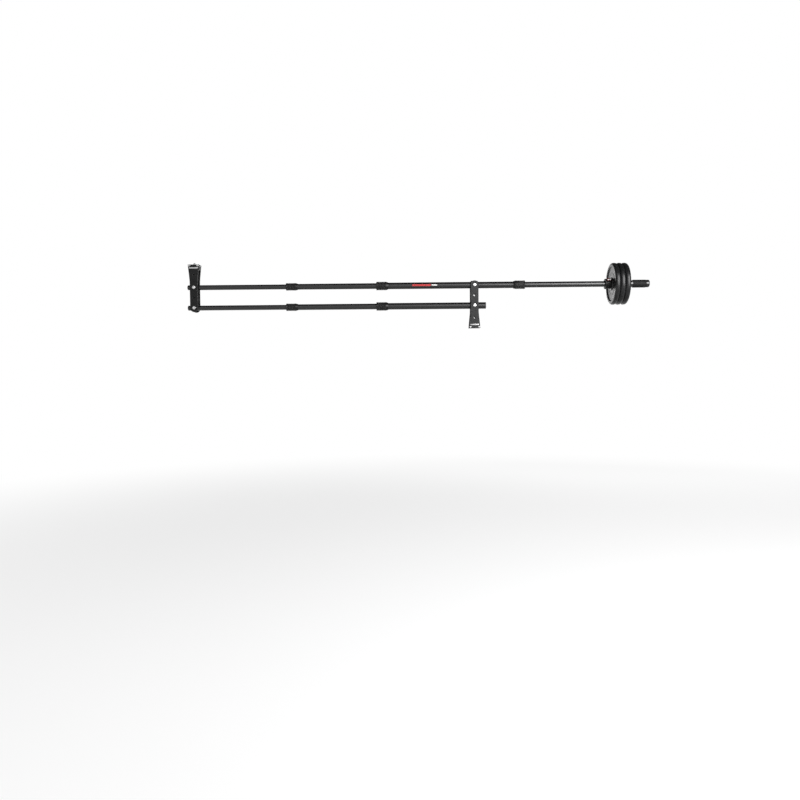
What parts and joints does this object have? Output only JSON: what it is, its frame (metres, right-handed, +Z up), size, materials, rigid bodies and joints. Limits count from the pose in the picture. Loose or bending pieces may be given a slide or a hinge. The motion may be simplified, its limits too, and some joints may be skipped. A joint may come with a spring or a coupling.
{
  "type": "camera jib crane",
  "caption": "Telescopic parallel-arm camera jib with a fulcrum bracket, a head bracket that stays level, and counterweights with a lock collar on a rear bar with a handle.",
  "frame": {"origin": "middle of the fulcrum block's underside, on the axis of its tripod thread", "axes": "+X along the arms towards the counterweights, +Y to the far side along the pivot axes, +Z up"},
  "size_m": [2.2701, 0.204, 0.331],
  "materials": {
    "tube_black": "satin",
    "bracket_paint": "matte",
    "block_black": "satin",
    "gloss_black": "gloss",
    "nut_black": "matte",
    "collet_nylon": "satin",
    "grip_rubber": "matte",
    "screw_steel": "gloss",
    "tie_steel": "satin",
    "bush_bronze": "satin",
    "weight_iron": "satin",
    "collar_black": "gloss",
    "lever_red": "gloss"
  },
  "bodies": {
    "fulcrum_bracket": {"fulcrum_plate_near": "bracket_paint", "fulcrum_plate_far": "bracket_paint", "fulcrum_base_block": "block_black", "fulcrum_bolt_front": "screw_steel", "fulcrum_bolt_rear": "screw_steel", "fulcrum_bush_upper_near": "bush_bronze", "fulcrum_bush_upper_far": "bush_bronze", "fulcrum_bush_lower_near": "bush_bronze", "fulcrum_bush_lower_far": "bush_bronze", "tripod_nut": "tie_steel"},
    "upper_arm": {"upper_main_tube": "tube_black", "upper_pivot_sleeve": "block_black", "upper_pivot_screw_near": "screw_steel", "upper_pivot_screw_far": "screw_steel", "upper_front_ferrule": "gloss_black", "upper_front_collet": "collet_nylon", "rear_ferrule": "gloss_black", "rear_collet": "collet_nylon"},
    "upper_mid": {"upper_mid_tube": "tube_black", "upper_tip_ferrule": "gloss_black", "upper_tip_collet": "collet_nylon"},
    "upper_inner": {"upper_inner_tube": "tube_black", "upper_end_lug": "gloss_black", "upper_head_axle": "screw_steel"},
    "lower_arm": {"lower_main_tube": "tube_black", "lower_pivot_sleeve": "block_black", "lower_pivot_screw_near": "screw_steel", "lower_pivot_screw_far": "screw_steel", "lower_front_ferrule": "gloss_black", "lower_front_collet": "collet_nylon", "lower_tube_plug": "gloss_black"},
    "lower_mid": {"lower_mid_tube": "tube_black", "lower_tip_ferrule": "gloss_black", "lower_tip_collet": "collet_nylon"},
    "lower_inner": {"lower_inner_tube": "tube_black", "lower_end_lug": "gloss_black", "lower_head_axle": "screw_steel"},
    "head_bracket": {"head_plate_near": "bracket_paint", "head_plate_far": "bracket_paint", "head_top_block": "block_black", "head_bolt_front": "screw_steel", "head_bolt_rear": "screw_steel", "head_bush_upper_near": "bush_bronze", "head_bush_upper_far": "bush_bronze", "head_bush_lower_near": "bush_bronze", "head_bush_lower_far": "bush_bronze", "camera_screw": "tie_steel"},
    "rear_arm": {"rear_tube": "tube_black", "handle_grip": "grip_rubber", "handle_cap": "gloss_black"},
    "weight_stack": {"weight_plate_1": "weight_iron", "weight_plate_2": "weight_iron", "weight_plate_3": "weight_iron", "collar_ring": "collar_black"},
    "collar_latch": {"collar_lever": "lever_red"},
    "upper_front_lock": {"upper_front_nut": "nut_black"},
    "upper_tip_lock": {"upper_tip_nut": "nut_black"},
    "rear_lock": {"rear_nut": "nut_black"},
    "lower_front_lock": {"lower_front_nut": "nut_black"},
    "lower_tip_lock": {"lower_tip_nut": "nut_black"}
  },
  "joints": [
    {"name": "boom_tilt", "type": "hinge", "parent": "fulcrum_bracket", "child": "upper_arm", "pos_m": [0, 0, 0.211], "axis": [0, 1, 0], "range_deg": [-50, 50]},
    {"name": "lower_arm_pivot", "type": "hinge", "parent": "fulcrum_bracket", "child": "lower_arm", "pos_m": [0, 0, 0.111], "axis": [0, 1, 0], "range_deg": [-50, 50]},
    {"name": "head_level", "type": "hinge", "parent": "upper_inner", "child": "head_bracket", "pos_m": [-1.374, 0, 0.211], "axis": [0, 1, 0], "range_deg": [-50, 50]},
    {"name": "upper_mid_slide", "type": "slide", "parent": "upper_arm", "child": "upper_mid", "axis": [1, 0, 0], "range_m": [0, 0.36]},
    {"name": "lower_mid_slide", "type": "slide", "parent": "lower_arm", "child": "lower_mid", "axis": [1, 0, 0], "range_m": [0, 0.36]},
    {"name": "upper_inner_slide", "type": "slide", "parent": "upper_mid", "child": "upper_inner", "axis": [1, 0, 0], "range_m": [0, 0.38]},
    {"name": "lower_inner_slide", "type": "slide", "parent": "lower_mid", "child": "lower_inner", "axis": [1, 0, 0], "range_m": [0, 0.38]},
    {"name": "rear_slide", "type": "slide", "parent": "upper_arm", "child": "rear_arm", "axis": [-1, 0, 0], "range_m": [0, 0.13]},
    {"name": "weight_slide", "type": "slide", "parent": "rear_arm", "child": "weight_stack", "axis": [-1, 0, 0], "range_m": [0, 0.25]},
    {"name": "collar_lever_swing", "type": "hinge", "parent": "weight_stack", "child": "collar_latch", "pos_m": [0.6594, 0.02753, 0.21838], "axis": [-1, 0, 0], "range_deg": [0, 100]},
    {"name": "upper_front_lock_turn", "type": "hinge", "parent": "upper_arm", "child": "upper_front_lock", "pos_m": [-0.455, 0, 0.211], "axis": [1, 0, 0], "range_deg": [0, 180]},
    {"name": "upper_tip_lock_turn", "type": "hinge", "parent": "upper_mid", "child": "upper_tip_lock", "pos_m": [-0.899, 0, 0.211], "axis": [1, 0, 0], "range_deg": [0, 180]},
    {"name": "rear_lock_turn", "type": "hinge", "parent": "upper_arm", "child": "rear_lock", "pos_m": [0.223, 0, 0.211], "axis": [1, 0, 0], "range_deg": [0, 180]},
    {"name": "lower_front_lock_turn", "type": "hinge", "parent": "lower_arm", "child": "lower_front_lock", "pos_m": [-0.455, 0, 0.111], "axis": [1, 0, 0], "range_deg": [0, 180]},
    {"name": "lower_tip_lock_turn", "type": "hinge", "parent": "lower_mid", "child": "lower_tip_lock", "pos_m": [-0.899, 0, 0.111], "axis": [1, 0, 0], "range_deg": [0, 180]}
  ],
  "couplings": [
    {"joint": "lower_arm_pivot", "follows": "boom_tilt", "ratio": 1},
    {"joint": "head_level", "follows": "boom_tilt", "ratio": -1},
    {"joint": "lower_mid_slide", "follows": "upper_mid_slide", "ratio": 1},
    {"joint": "lower_inner_slide", "follows": "upper_inner_slide", "ratio": 1}
  ]
}
